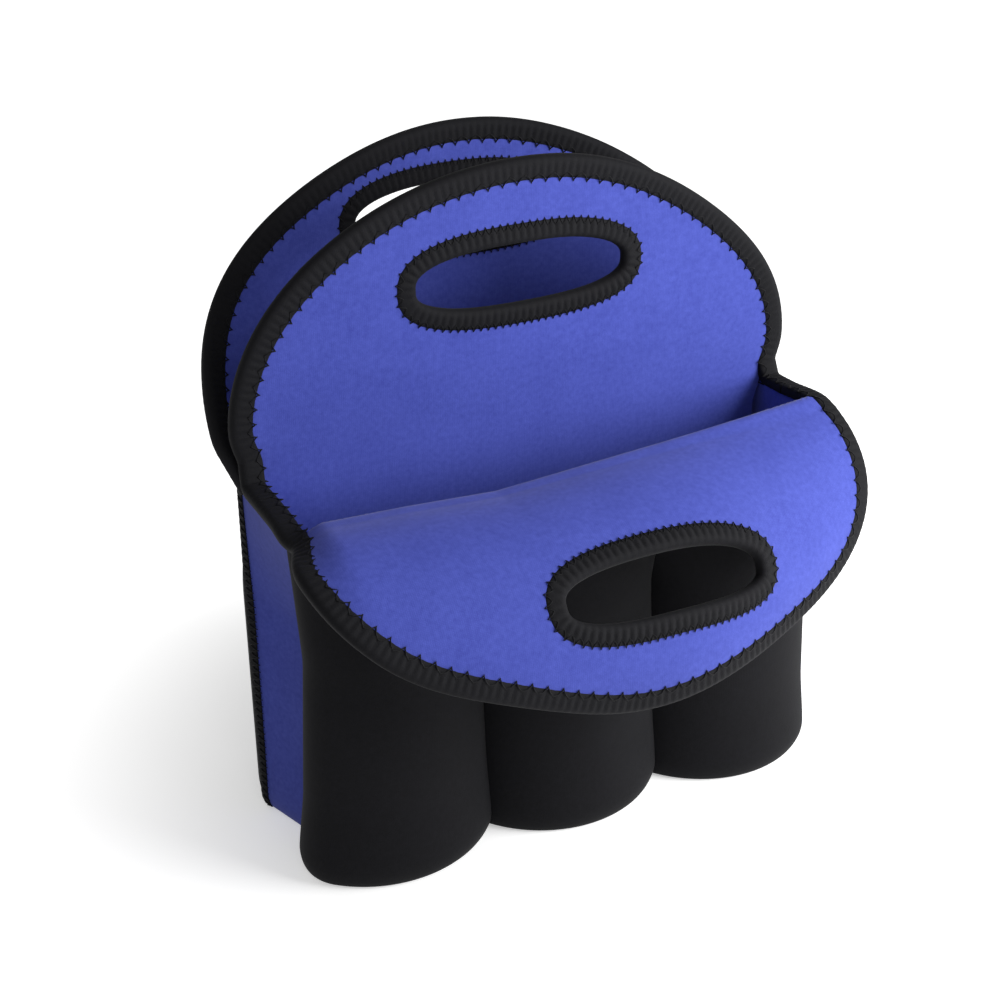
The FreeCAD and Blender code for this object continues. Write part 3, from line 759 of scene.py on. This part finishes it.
# Zigzag: a thin round thread that goes from the sheet over the sewn edge onto the tape and back
def zigzagRings(path, inward, up, sizes, arc, face, sheetHalf, closed):
    t = threadSizes
    count = int(round(arc[-1] / sizes["pitch"]))
    offsets = np.array(t["offsets"]) * sizes["pitch"]
    places = (np.arange(count)[:, None] * sizes["pitch"] + offsets).ravel()
    places = places[places < arc[-1]] if not closed else places * (arc[-1] / (count * sizes["pitch"]))
    spot = readAt(places, arc, path)
    side, high = unit(readAt(places, arc, inward)), unit(readAt(places, arc, up))
    swing = np.tile(t["swings"], count)[:len(places)]
    w = sizes["halfWidth"] + np.where(swing > 0, swing * sizes["onSheet"], swing * t["onTape"])
    base = np.array([sizes["innerHalf"]] * 2 + [sheetHalf] * 2)
    h = np.interp(swing, t["liftAt"], base + t["lift"])
    line = spot + side * w[:, None] + high * (face * h)[:, None]
    along = tangents(line, closed)
    first = unit(np.cross(along, high))
    second = np.cross(along, first)
    phi = np.linspace(0, 2 * math.pi, t["around"], endpoint=False)[None, :, None]
    return line[:, None] + sizes["thread"] * (first[:, None] * np.cos(phi) + second[:, None] * np.sin(phi))


# Tape and its two rows of stitches; on the outer face a few points at each end are left plain
def bindEdge(name, path, normal, sizes, sheetHalf, closed, bend, nodes, plainEnds=0):
    total = arcLength(path, closed)[-1]
    count = int(round(total / sizes["step"]))
    both = evenly(np.hstack([path, normal]), count, closed)
    path, normal = both[:, :3], unit(both[:, 3:])
    arc = arcLength(path, closed)
    rings, inward, up = tapeRings(path, normal, sizes, arc[:len(path)], closed)
    points, faces = tube(rings, closed)
    tape = makePiece(name, points, faces, bindingTape, None, creases["tape"])
    lines = [looped(rows, closed) for rows in (path, inward, up)]
    threads = []
    for label, face in (("_stitch_in", 1), ("_stitch_out", -1)):
        sewn = slice(None) if face > 0 or not plainEnds else slice(plainEnds, -plainEnds)
        rings = zigzagRings(*[rows[sewn] for rows in lines], sizes, arc[sewn] - arc[sewn][0],
                            face, sheetHalf, closed)
        points, faces = tube(rings, closed)
        threads.append(makePiece(name + label, points, faces, sewingThread, None, creases["none"]))
    for part in [tape] + threads:
        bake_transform(part)
    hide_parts(*nodes)


def onSheet(surface, line):  # places and outward directions along a line drawn on a sheet
    u, v = line[:, 0], line[:, 1]
    return surface(u, v), blueFace(surface, u, v)


tapeInset = edgeTape["halfWidth"]
rimSizes = {
    "below": 1.5, "out": 1.2, "rear": -4.0, "meet": -20.0, "front": -46.0, "face": (-0.1, -0.35, 0.93),
    "apart": 0.5, "span": (0.92, 0.02), "samples": 48, "corner": 60,
}
joinSizes = {  # how many points a joined tape line has, how far its turns are rounded, where each line starts
    "samples": 760, "faceWeight": 20, "middlePasses": 40, "frontPasses": 100, "middleFoot": 178.0, "backFoot": 163.0,
    "flapRun": 4.0, "middlePlain": 16, "frontPlain": 34,
}


# Rim beside the mouth, from the rear to the front: the tape lies flat on the top edge of the side panel and of the
# front wall's corner, its blue side turned up
def rimPath(left):
    q = rimSizes
    share = np.linspace(*q["span"], q["samples"])[:, None]
    y = backSizes["seam"] - (1 - share[:, 0]) * (backSizes["seam"] + frontForms[1]["seam"])
    z = notchHeight(y, left) - q["below"]
    side = seamColumn(frontPlan, frontForms, half, z) * (1 - share)
    side = side + seamColumn(backPlan, backForms, half, z) * share
    plan = frontPlan(half, frontForms[1])
    z = notchHeight(plan[:, 1], left) - q["below"]
    front = wallGrid(frontPlan, frontForms, half, z[None])[0][:q["corner"]]
    corner = front[front[:, 1] > q["front"]]
    line = np.vstack([side, corner]) - [q["out"], 0, 0]
    return line * [1 if left else -1, 1, 1]


def rimStretch(left, rear, front):  # part of the rim between two depths, and the way its blue side looks
    line = rimPath(left)
    line = line[(line[:, 1] <= rear) & (line[:, 1] >= front)]
    return line, np.tile(np.array(rimSizes["face"]) * [1 if left else -1, 1, 1], (len(line), 1))


# One line through several stretches, with the turns between them rounded off
def joined(stretches, passes):
    rows = np.vstack([np.hstack([line, face * joinSizes["faceWeight"]]) for line, face in stretches])
    both = rounded(evenly(rows, joinSizes["samples"]), passes)
    return both[:, :3], unit(both[:, 3:])


def bindHole(label, surface, clear, sheetHalf):
    grow = [c + w / 2 for c, w in zip(clear, holeSizes["binding"])]
    edge = onSheet(surface, holeLine(holeCentres[label], *grow, holeSizes["tapeSamples"])[::-1])
    bindEdge(label + "_hole_tape", *edge, holeTape, sheetHalf, True, blends[label], [label + "_hole_binding"])


# Middle edge tape: along the right rim, over the arch and back along the left rim
j = joinSizes
edge = onSheet(middleSurface, archLine(archSizes["middle"], tapeInset, j["middleFoot"])[::-1])
reach = (rimSizes["rear"], rimSizes["meet"] - rimSizes["apart"])
right, left = rimStretch(False, *reach), rimStretch(True, *reach)
edge = joined([(right[0][::-1], right[1]), edge, left], j["middlePasses"])
bindEdge("middle_edge_tape", *edge, edgeTape, dividerHalf, False, blends["middle"], ["middle_edge_binding"],
         j["middlePlain"])
bindHole("middle", middleSurface, holeSizes["clear"], dividerHalf)

edge = onSheet(backSurface, archLine(archSizes["back"], tapeInset, j["backFoot"])[::-1])
bindEdge("back_edge_tape", *edge, edgeTape, half, False, blends["back"], ["back_edge_binding"])
bindHole("back", backSurface, holeSizes["clear"], half)
bindHole("flap", flapSurface, holeSizes["flapClear"], half)

# Front edge tape: along the left rim, round the edge of the flap and back along the right rim
flapEdge = flapLine(tapeInset)
edge = onSheet(flapSurface, flapEdge[flapEdge[:, 1] < -j["flapRun"]])
reach = (rimSizes["meet"], rimSizes["front"])
right, left = rimStretch(False, *reach), rimStretch(True, *reach)
edge = joined([left, edge, (right[0][::-1], right[1])], j["frontPasses"])
bindEdge("front_edge_tape", *edge, edgeTape, half, False, blends["flap"],
         ["flap_edge_binding", "left_mouth_binding", "right_mouth_binding"], j["frontPlain"])
print("bindings made")

seamSizes = {
    "width": 4.6, "thick": 0.7, "behind": 1.6, "lift": 0.2, "pitch": 3.6, "low": 1.0, "high": 163.0, "step": 0.9,
    "around": 14, "square": 0.7, "scallop": 0.4, "scallopAt": (0.4, 1), "dent": 0.25,
}
seamStitch = {
    "pitch": seamSizes["pitch"], "halfWidth": seamSizes["width"] / 2, "innerHalf": 0.6, "sheetHalf": 0.35,
    "thread": 0.3, "onSheet": 1.3,
}


# Rear seam: a flat strip of the back wall's edge lapped over the side panel, with a zigzag down its front edge
def rearSeam(label, side):
    q = seamSizes
    count = int((q["high"] - q["low"]) / q["step"])
    z = np.linspace(q["low"], q["high"], count)
    front = seamColumn(frontPlan, frontForms, -q["lift"], z)
    rear = seamColumn(backPlan, backForms, -q["lift"], z)
    inward = unit((front - rear) * [1, 1, 0])
    path = rear + inward * (q["width"] / 2 - q["behind"])
    up = unit(np.cross(inward, [0, 0, 1.0]))
    up = up * np.sign((up * [-1, 0, 0]).sum(-1))[:, None]
    stitch = wavelets(z, q["pitch"])
    phi = np.linspace(0, 2 * math.pi, q["around"], endpoint=False)[None, :]
    w = q["width"] / 2 * power(np.cos(phi), q["square"])
    w = w + q["scallop"] * (stitch - 0.5) * smooth(np.cos(phi), *q["scallopAt"])
    h = (q["thick"] - q["dent"] * stitch) * power(np.sin(phi), q["square"])
    points, faces = tube(carried(path, inward, up, w, h) * [side, 1, 1])
    tape = makePiece(label + "_rear_seam", points, faces, bindingTape, None, creases["none"])
    rings = zigzagRings(path, inward, up, seamStitch, arcLength(path), 1, seamStitch["sheetHalf"], False)
    points, faces = tube(rings * [side, 1, 1])
    thread = makePiece(label + "_rear_seam_stitch", points, faces, sewingThread, None, creases["none"])
    for part in (tape, thread):
        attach(part, "carrier_body")
    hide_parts(label + "_rear_seam_tape")


for label, side in (("left", 1), ("right", -1)):
    rearSeam(label, side)
print("seams made")


studio = {
    "floorHalf": 9.0, "floor": "#F4F4F4", "world": 0.34,
    "glowNear": 0.40, "glowFar": 0.80, "glowReach": (0.11, 0.27),  # less glow near the part paints the floor darker there, a painted shade round its real shadow
    "key": {"place": (0.47, -0.43, 0.40), "aim": (0, -0.02, 0.17), "size": 0.5, "power": 7.2},
    "fill": {"place": (-0.5, -1.5, 0.9), "aim": (0, 0, 0.14), "size": 1.2, "power": 3.0},
    "camera": {"target": (-19.9, -15.0, 142.8), "distance": 681.6, "azimuth": -26.45, "elevation": 26.6,
               "lens": 56.86, "sensor": 36.0, "clip": (0.01, 50.0)},
}


def lookAt(obj, place, aim):
    direction = np.array(aim, float) - np.array(place, float)
    obj.location = place
    obj.rotation_mode = "QUATERNION"
    obj.rotation_quaternion = Vector(direction).to_track_quat("-Z", "Y")


def areaLight(name, spec):
    light = bpy.data.lights.new(name, "AREA")
    light.shape = "DISK"
    light.size = spec["size"]
    light.energy = spec["power"]
    lamp = bpy.data.objects.new(name, light)
    bpy.context.scene.collection.objects.link(lamp)
    lookAt(lamp, spec["place"], spec["aim"])


def studioFloor():
    half = studio["floorHalf"]
    mesh = bpy.data.meshes.new("studio_floor")
    mesh.from_pydata([(-half, -half, 0), (half, -half, 0), (half, half, 0), (-half, half, 0)], [], [(0, 1, 2, 3)])
    material, tree = newMaterial("paperFloor")
    path = addNode(tree, "ShaderNodeLightPath")
    seen = mathNode(tree, "MAXIMUM", None, {0: path.outputs["Is Camera Ray"], 1: path.outputs["Is Glossy Ray"]})
    seen = mathNode(tree, "MAXIMUM", None, {0: seen, 1: path.outputs["Is Transmission Ray"]})
    place = addNode(tree, "ShaderNodeTexCoord")
    reach = addNode(tree, "ShaderNodeVectorMath", {"operation": "LENGTH"}, None, {0: place.outputs["Object"]})
    # Painted shade: the camera sees less glow close to the part's origin, so the floor is painted darker round the
    # part, beside its real shadow
    glowing = addNode(tree, "ShaderNodeMapRange", {"interpolation_type": "SMOOTHSTEP"},
                      {"From Min": studio["glowReach"][0], "From Max": studio["glowReach"][1],
                       "To Min": studio["glowNear"], "To Max": studio["glowFar"]}, {"Value": reach.outputs["Value"]})
    strength = mathNode(tree, "MULTIPLY", None, {0: seen, 1: glowing.outputs["Result"]})
    paper = addNode(tree, "ShaderNodeBsdfDiffuse", None, {"Color": hexColour(studio["floor"])})
    glow = addNode(tree, "ShaderNodeEmission", None, {"Color": (1, 1, 1, 1)}, {"Strength": strength})
    both = addNode(tree, "ShaderNodeAddShader", None, None, {0: paper.outputs[0], 1: glow.outputs[0]})
    addNode(tree, "ShaderNodeOutputMaterial", None, None, {"Surface": both.outputs[0]})
    mesh.materials.append(material)
    floor = bpy.data.objects.new("studio_floor", mesh)
    bpy.context.scene.collection.objects.link(floor)


def whiteWorld():
    world = bpy.data.worlds.new("softWhite")
    world.use_nodes = True
    tree = world.node_tree
    tree.nodes.clear()
    path = addNode(tree, "ShaderNodeLightPath")
    seen = mathNode(tree, "MAXIMUM", None, {0: path.outputs["Is Camera Ray"], 1: path.outputs["Is Transmission Ray"]})
    level = addNode(tree, "ShaderNodeMapRange", None, {"To Min": studio["world"], "To Max": 1.0}, {"Value": seen})
    light = addNode(tree, "ShaderNodeBackground", None, {"Color": (1, 1, 1, 1)},
                    {"Strength": level.outputs["Result"]})
    addNode(tree, "ShaderNodeOutputWorld", None, None, {"Surface": light.outputs[0]})
    bpy.context.scene.world = world


studioFloor()
whiteWorld()
areaLight("keyLight", studio["key"])
areaLight("fillLight", studio["fill"])

view = studio["camera"]
azimuth, elevation = math.radians(view["azimuth"]), math.radians(view["elevation"])
level = math.cos(elevation)
away = np.array([level * math.sin(azimuth), -level * math.cos(azimuth), math.sin(elevation)])
target = np.array(view["target"]) * mm
camera = bpy.data.cameras.new("photoCamera")
camera.lens, camera.sensor_width = view["lens"], view["sensor"]
camera.clip_start, camera.clip_end = view["clip"]
cameraObject = bpy.data.objects.new("photoCamera", camera)
bpy.context.scene.collection.objects.link(cameraObject)
lookAt(cameraObject, tuple(target + away * view["distance"] * mm), tuple(target))
bpy.context.scene.camera = cameraObject
bpy.context.scene.view_settings.view_transform = "Standard"
print("studio ready")
